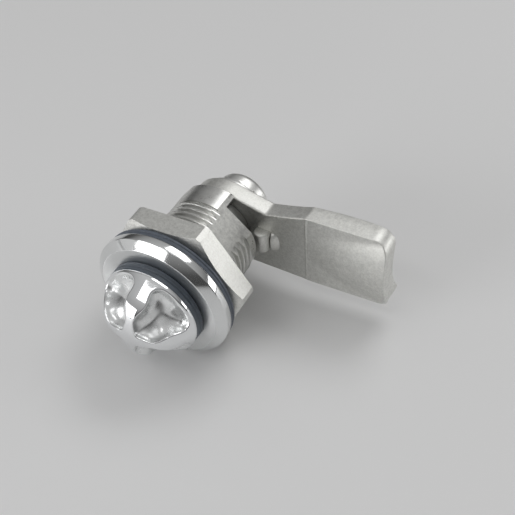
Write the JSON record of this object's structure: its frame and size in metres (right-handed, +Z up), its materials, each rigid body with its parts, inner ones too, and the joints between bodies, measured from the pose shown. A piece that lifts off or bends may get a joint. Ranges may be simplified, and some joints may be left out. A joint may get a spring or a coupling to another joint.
{
  "type": "quarter-turn wing latch",
  "caption": "Quarter-turn wing latch: a domed key head with finger pockets turns a flat cam arm behind a sheet-metal door.",
  "frame": {"origin": "on the latch axis, at the back face of the bezel, which is the door's outer face", "axes": "+Y along the latch axis from the key head to the cam, +X along the cam's arm at mid turn, +Z up"},
  "size_m": [0.0575, 0.0487, 0.0322],
  "materials": {
    "polished_housing": "polished bezel, plain barrel",
    "nut_steel": "tumbled, matt",
    "chrome_head": "mirror",
    "seal_rubber": "dark blue-grey",
    "bearing_plastic": "plain",
    "spring_steel": "dark",
    "cast_cam": "fine cast grain, nickelled",
    "zinc_steel": "bright zinc"
  },
  "bodies": {
    "housing_body": {"housing": "polished_housing", "panel_gasket": "seal_rubber", "hex_nut": "nut_steel", "thrust_washer": "bearing_plastic"},
    "rotor": {"driver_spindle": "chrome_head", "head_seal": "seal_rubber", "shaft_o_ring": "seal_rubber", "retaining_ring": "spring_steel", "cam": "cast_cam", "flat_washer": "zinc_steel", "tooth_lock_washer": "zinc_steel", "cam_screw": "zinc_steel"}
  },
  "joints": [
    {"name": "cam_turn", "type": "hinge", "parent": "housing_body", "child": "rotor", "pos_m": [0, 0, 0], "axis": [0, 1, 0], "range_deg": [-45, 45]}
  ]
}
